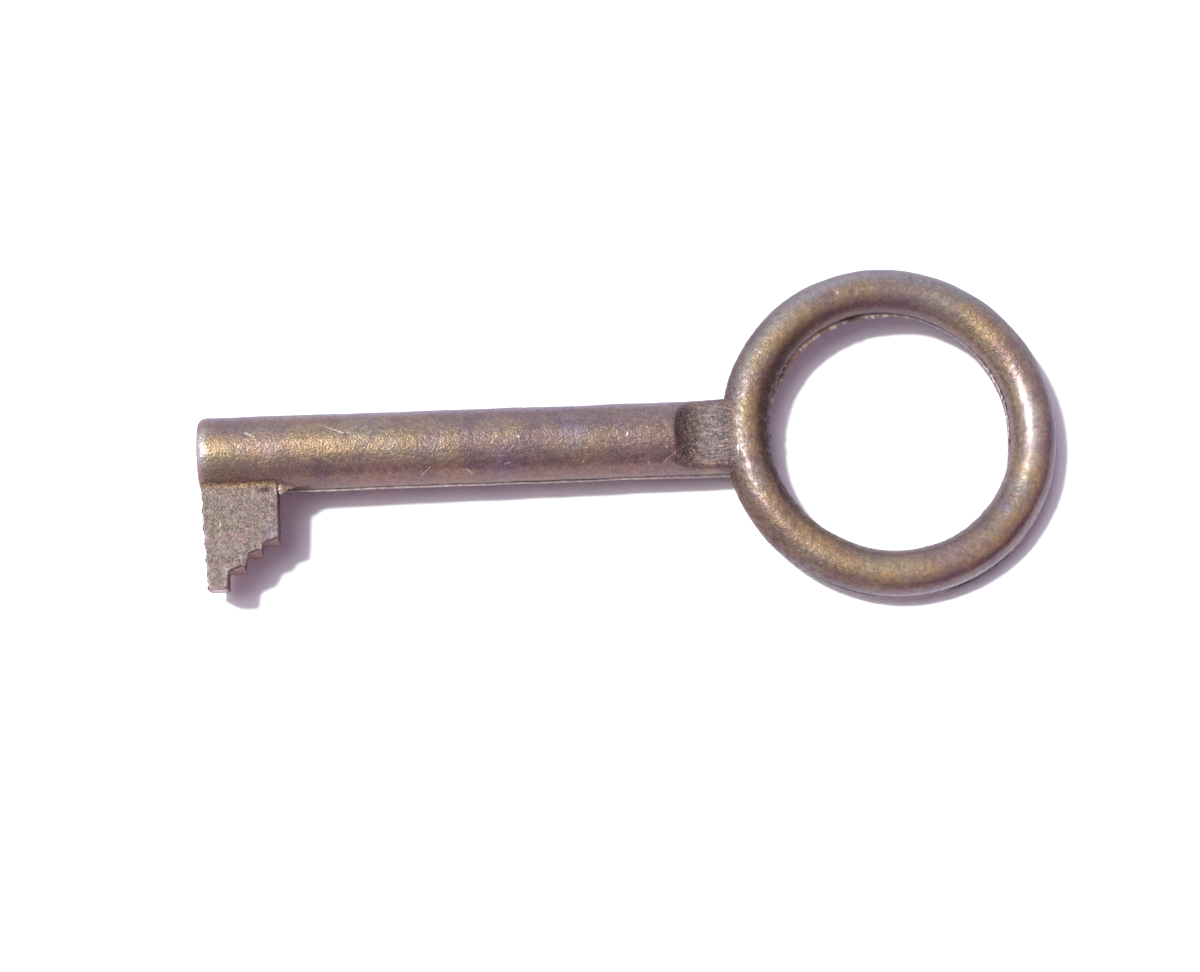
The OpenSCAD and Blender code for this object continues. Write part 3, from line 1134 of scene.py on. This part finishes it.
def patina(name):
    # Brass gone brown: gold where hands rubbed it, purple-brown where they didn't, grey
    # grain on the flats, bare metal on the edges and dirt in the seam. Shade is painted darker
    # in the neck's scoop, on the bit's side faces and on the ring's inner wall, and sheen and
    # highlights are painted paler on the flanks facing +Y, the ring's rim and crest and the seam's
    # ledge.
    finish = finishes[name]
    material = bpy.data.materials.new(name + "Brass")
    startNodes(material)
    here = addNode("TexCoord").outputs["Object"]
    place = vectorStep("SCALE", here, 1 / mm)
    above = vectorStep("MULTIPLY", place, (1, 1, 0))
    markNames = ("dirtAndShade", "wearAndSheen", "crest", "flat", "rub", "paintedSheen", "cut", "polish")
    mark = {markName: attribute(markName) for markName in markNames}
    speckle = cloud(place, "speckle")
    grain = cloud(place, "grain")
    grains = spread(grain, 0.39, 0.76, -0.55, 1.8)
    combing = spread(cloud(place, "combing"), 0.34, 0.66, -1.0, 1.0)
    combing = times(times(mark["flat"], finish["combed"]), combing)
    scratched = scratchedShare(name, place, above)
    wearAndSheen = times(mark["wearAndSheen"], spread(speckle, 0.35, 0.6, 0.45, 1.0))

    colour = patinaTone(name, place, mark, speckle)
    colour = stained(name, colour, above, speckle)
    specks = spread(speckle, 0.36, 0.64, -1.0, 1.0)
    parts = {"specks": specks, "grains": grains, "combing": combing}
    mottle = addParts(0.0, [(part, layers[layer]) for layer, part in parts.items()])
    colour = grained(finish, colour, place, mottle, mark)
    # the bare tone: real wear on edges, flash, lip and burr, and painted sheen and highlights on the
    # ring's rim and crest, the flanks facing +Y and the seam's ledge
    colour = lay(colour, wearAndSheen, "bare", layers["worn"])
    colour = lay(colour, mark["cut"], "cut", layers["cut"])
    colour = lay(colour, scratched, "bare", layers["scratched"])
    # the dark tone: dirt in the seam, smudges and pocks, and painted shade in the scoop, on the bit's
    # side faces and on the ring's inner wall
    colour = lay(colour, mark["dirtAndShade"], "dirtAndShade", layers["dirtAndShade"])

    # Where the polish is negative the metal is matte, and where it is positive the gloss is
    # broad and smooth. Dirt, painted shade and matte metal have less of the coat, and the flats too.
    matte = times(calc("MINIMUM", mark["polish"], 0.0), -0.33)
    polished = calc("MAXIMUM", mark["polish"], 0.0)
    rougher = [(grains, 0.05), (mark["flat"], 0.08), (mark["dirtAndShade"], 0.3), (wearAndSheen, -0.12)]
    rough = addParts(finish["rough"], [*rougher, (matte, 0.18), (polished, 0.1)], clamp=True)
    coat = addParts(1.0, [(mark["dirtAndShade"], -0.8)], clamp=True)
    coat = times(coat, spread(mark["flat"], 0.0, 1.0, 1.0, 0.55))
    coat = calc("SUBTRACT", coat, matte, clamp=True)

    fine = [(grain, 1.5 * finish["grain"]), (speckle, 1.3), (combing, 0.8), (scratched, -0.5)]
    strength = addParts(finish["relief"], [(mark["polish"], -0.35)], clamp=True)
    put = {"Strength": strength, "Distance": layers["reliefDepth"] * mm, "Height": addParts(0.0, fine)}
    relief = addNode("Bump", put).outputs[0]
    put = {"Base Color": colour, "Metallic": 1.0, "Roughness": rough, "Normal": relief}
    put |= {"Coat Weight": coat, "Coat Roughness": finish["coat"], "Coat IOR": layers["coatIor"]}
    shader = addNode("BsdfPrincipled", put)
    addNode("OutputMaterial", {"Surface": shader.outputs[0]})
    return material


pieces = {
    "bow": (makeBow, "bow_brass"),
    "barrel": (makeBarrel, "barrel_brass"),
    "neck": (makeNeck, "neck_brass"),
    "bit": (makeBit, "bit_brass"),
}

for node, (make, slotName) in pieces.items():
    piece = make()
    piece.data.materials.append(patina(piece.name))
    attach(piece, "root")
    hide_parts(node)
print("key: pieces made")


# Table: the key leans on it, so it lies a little askew under the key. The tones are what
# falling light meets, what the camera sees and what the key mirrors.
table = {
    "underShoulder": -3.03,
    "riseX": 0.0221,
    "riseY": -0.0717,
    "half": 1500.0,
    "colour": (0.85, 0.85, 0.85, 1),
    "shown": (1.76, 1.85, 1.66, 1),
    "mirrored": (1.06, 0.99, 0.94, 1),
    "mirroredBehind": (0.87, 0.88, 0.98, 1),
    "ringFront": (1.03, 1.14, 1.25, 1),
    "ringBehind": (0.82, 0.98, 1.1, 1),
    "inRing": (0.86, 0.85, 0.92, 1),
    "desk": (1.64, 0.94, 0.87, 1),
    "behind": (-6.0, 6.0),
    "underRing": (36.0, 44.0),
    "insideRing": (9.0, 12.0),
    "sheet": (35.0, 150.0),
}


def mirroredTable():
    # What the key's underside and sides mirror: the sheet in front and behind, under the
    # ring and inside it, and beyond the sheet's edge the desk.
    here = addNode("TexCoord").outputs["Object"]
    place = vectorStep("SCALE", here, 1 / mm)
    apart = addNode("SeparateXYZ", {0: place}).outputs
    behind = spread(apart["Y"], *table["behind"])
    tone = blendTones(behind, table["mirrored"], table["mirroredBehind"])
    ringTone = blendTones(behind, table["ringFront"], table["ringBehind"])
    tone = blendTones(spread(apart["X"], *table["underRing"]), tone, ringTone)
    fromEye = vectorStep("DISTANCE", place, (ringX, 0, table["underShoulder"]))
    inside = spread(fromEye, *table["insideRing"], 1.0, 0.0)
    tone = blendTones(inside, tone, table["inRing"])
    fromKey = vectorStep("DISTANCE", place, (ringX / 2, 0, 0))
    return blendTones(spread(fromKey, *table["sheet"]), tone, table["desk"])


def makeTable():
    # a wide square through the point under the neck's shoulder, rising along X and Y
    half = table["half"]
    x = np.array([-half, half, half, -half])
    y = np.array([-half, -half, half, half])
    z = table["underShoulder"] + table["riseX"] * (x - barrelLength) + table["riseY"] * y
    mesh = bpy.data.meshes.new("table")
    mesh.from_pydata((np.column_stack([x, y, z]) * mm).tolist(), [], [(0, 1, 2, 3)])
    material = bpy.data.materials.new("whiteTable")
    startNodes(material)
    mirrored = seenBy("Is Glossy Ray", "Is Transmission Ray")
    colour = blendTones(mirrored, table["colour"], mirroredTable())
    colour = blendTones(seenBy("Is Camera Ray"), colour, table["shown"])
    shader = addNode("BsdfDiffuse", {"Color": colour})
    addNode("OutputMaterial", {"Surface": shader.outputs[0]})
    mesh.materials.append(material)
    sheet = addObject("table", mesh)


makeTable()

# Light: one lamp high on the left, and a pale room round the key
light = {
    "towards": (-0.448, 0.155, 0.87),
    "distance": 650.0,
    "over": (28.0, 0.0, 0.0),
    "strength": 0.5,
    "spread": 5.0,
    "colour": (0.98, 0.98, 1.05),
    "fill": (0.123, 0.075, 0.148),
    "halo": (0.883, 2.45),
    "haloTone": (0.97, 0.98, 1.1),
}

# What the key mirrors of the room, in rings of soft patches: the sine of their height, the
# angle of the first, the cosine at a patch's edge, and their light, anticlockwise from above
roomRings = [
    (0.07, 0, 0.87, [
        (0.14, 0.08, 0.21), (0.33, 0.38, 0.57), (0.67, 0.71, 0.85), (0.55, 0.59, 0.74),
        (0.49, 0.54, 0.61), (0.41, 0.45, 0.52), (0.21, 0.16, 0.27), (0.02, 0.0, 0.13),
    ]),
    (0.44, 22.5, 0.84, [
        (0.3, 0.25, 0.31), (0.31, 0.34, 0.5), (0.41, 0.43, 0.58), (0.43, 0.49, 0.6),
        (0.37, 0.43, 0.53), (0.3, 0.26, 0.34), (0.15, 0.11, 0.2), (0.1, 0.05, 0.16),
    ]),
    (0.79, 0, 0.8, [
        (0.44, 0.35, 0.32), (0.44, 0.43, 0.45), (0.38, 0.45, 0.54),
        (0.17, 0.29, 0.43), (0.32, 0.35, 0.43), (0.42, 0.36, 0.35),
    ]),
    (1.0, 0, 0.87, [(0.52, 0.58, 0.64)]),
]


def makeLamp():
    # The lamp's strength is given as the light of a white sheet that faces it over the key,
    # and its spread as the angle that it fills there.
    distance = light["distance"] * mm
    lamp = bpy.data.lights.new("window", "POINT")
    lamp.energy = light["strength"] * math.pi * 4 * math.pi * distance**2
    lamp.shadow_soft_size = distance * math.tan(math.radians(light["spread"]) / 2)
    lamp.color = light["colour"]
    holder = addObject("window", lamp)
    holder.location = Vector(light["over"]) * mm + Vector(light["towards"]).normalized() * distance


def mirroredRoom(heading):
    # the patches added up, each brightest in its own direction and dark at its edge
    mirrored = (0.0, 0.0, 0.0)
    for height, first, edge, tints in roomRings:
        for order, tint in enumerate(tints):
            turn = math.radians(first + 360 * order / len(tints))
            level = math.sqrt(1 - height**2)
            way = (level * math.cos(turn), level * math.sin(turn), height)
            share = spread(vectorStep("DOT_PRODUCT", heading, way), edge, 1.0)
            mirrored = vectorStep("ADD", mirrored, vectorStep("SCALE", tint, share))
    return mirrored


def makeRoom():
    # a plain fill with a halo round the lamp for what falls on the key, and the patches for
    # what the camera and the metal see
    world = bpy.data.worlds.new("room")
    bpy.context.scene.world = world
    startNodes(world)
    heading = addNode("TexCoord").outputs["Generated"]
    towards = Vector(light["towards"]).normalized()
    edge, glow = light["halo"]
    halo = spread(vectorStep("DOT_PRODUCT", heading, towards), edge, 1.0)
    halo = vectorStep("SCALE", light["haloTone"], times(halo, glow))
    watched = seenBy("Is Camera Ray", "Is Glossy Ray", "Is Transmission Ray")
    diffuse = vectorStep("ADD", light["fill"], halo)
    colour = blendTones(watched, diffuse, mirroredRoom(heading))
    shader = addNode("Background", {"Color": colour, "Strength": 1.0})
    addNode("OutputWorld", {"Surface": shader.outputs[0]})


makeLamp()
makeRoom()

# Camera: 15 cm over the barrel and leaning over from the bit's side, turned in degrees
camera = {"place": (18.008, -38.399, 148.548), "turn": (13.4429, -3.8008, -3.1048), "lens": 60.86}


def makeCamera():
    lens = bpy.data.cameras.new("camera")
    lens.sensor_width = 36
    lens.lens = camera["lens"]
    lens.clip_start = 0.01
    lens.clip_end = 10
    holder = addObject("camera", lens)
    holder.location = Vector(camera["place"]) * mm
    holder.rotation_euler = Euler([math.radians(a) for a in camera["turn"]], "XYZ")
    bpy.context.scene.camera = holder


makeCamera()

bpy.context.scene.view_settings.view_transform = "Standard"
print("key: table, light and camera set")

bpy.context.view_layer.update()
